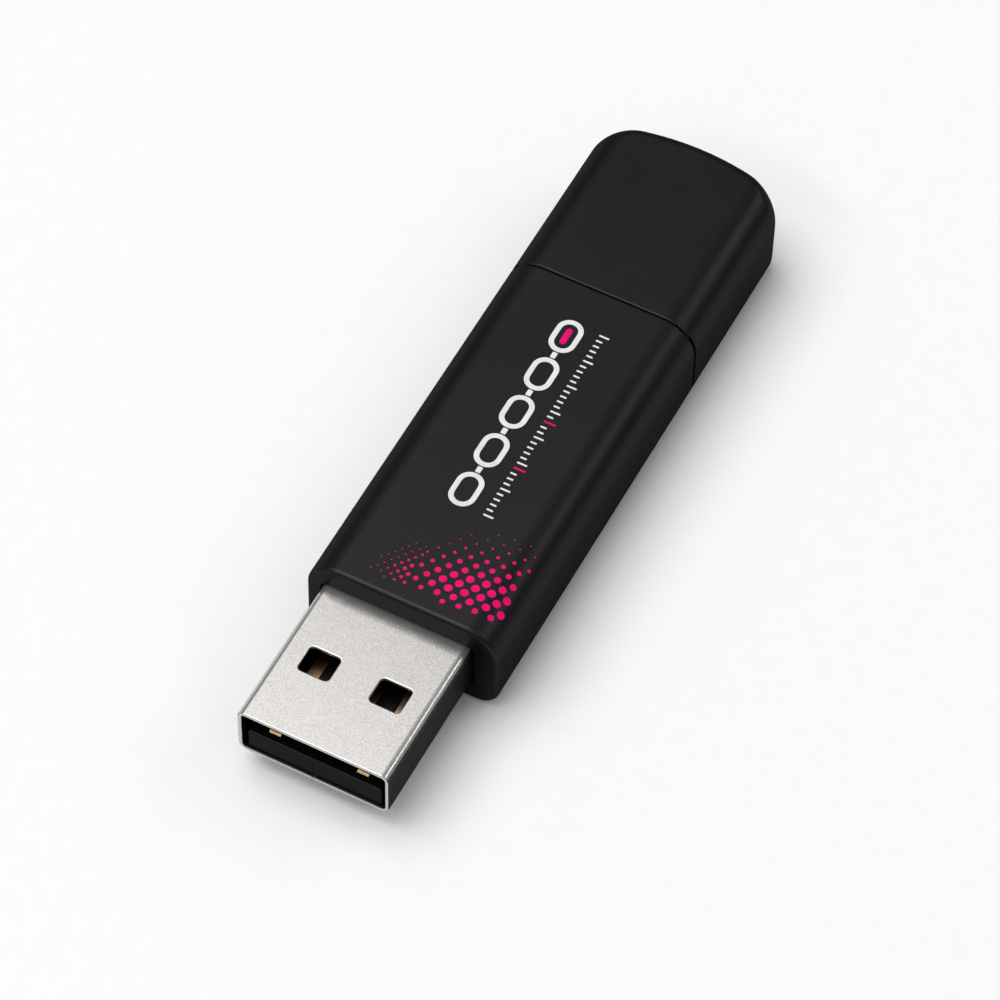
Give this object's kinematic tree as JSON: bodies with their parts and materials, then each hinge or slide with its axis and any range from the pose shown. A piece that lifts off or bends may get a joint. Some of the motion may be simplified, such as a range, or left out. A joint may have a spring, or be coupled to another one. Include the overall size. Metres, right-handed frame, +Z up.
{
  "type": "usb flash drive",
  "caption": "Slim black stick-shaped flash drive with a bare type A plug in front and its pull-off cap parked on the tail.",
  "frame": {"origin": "centre of the footprint, on the surface that the drive lies on", "axes": "+Y from the plug's mouth towards the tail, +X to the right, +Z up through the printed face"},
  "size_m": [0.0154, 0.0597, 0.0082],
  "materials": {
    "body_plastic": "satin matte black moulded plastic with a fine grain",
    "insulator_plastic": "black moulded insulator",
    "plug_steel": "satin nickel-plated sheet steel",
    "contact_gold": "gold-plated copper alloy",
    "board_laminate": "green solder mask",
    "chip_epoxy": "matt black moulded epoxy with tinned leads",
    "crystal_can": "bright plated metal can",
    "led_resin": "milky resin on a white substrate",
    "capacitor_body": "tan ceramic with tinned ends",
    "resistor_body": "black glazed film with tinned ends"
  },
  "bodies": {
    "drive": {"body_sleeve": "body_plastic", "tail_plug": "body_plastic", "plug_shell": "plug_steel", "plug_insulator": "insulator_plastic", "contact_power": "contact_gold", "contact_data_minus": "contact_gold", "contact_data_plus": "contact_gold", "contact_ground": "contact_gold", "circuit_board": "board_laminate", "flash_memory": "chip_epoxy", "controller": "chip_epoxy", "crystal": "crystal_can", "status_led": "led_resin", "capacitor_1": "capacitor_body", "capacitor_2": "capacitor_body", "capacitor_3": "capacitor_body", "capacitor_4": "capacitor_body", "resistor_1": "resistor_body", "resistor_2": "resistor_body", "resistor_3": "resistor_body", "resistor_4": "resistor_body"},
    "cap": {"cap": "body_plastic"}
  },
  "joints": [
    {"name": "cap_slide", "type": "slide", "parent": "drive", "child": "cap", "axis": [0, 1, 0], "range_m": [0, 0.015]}
  ]
}
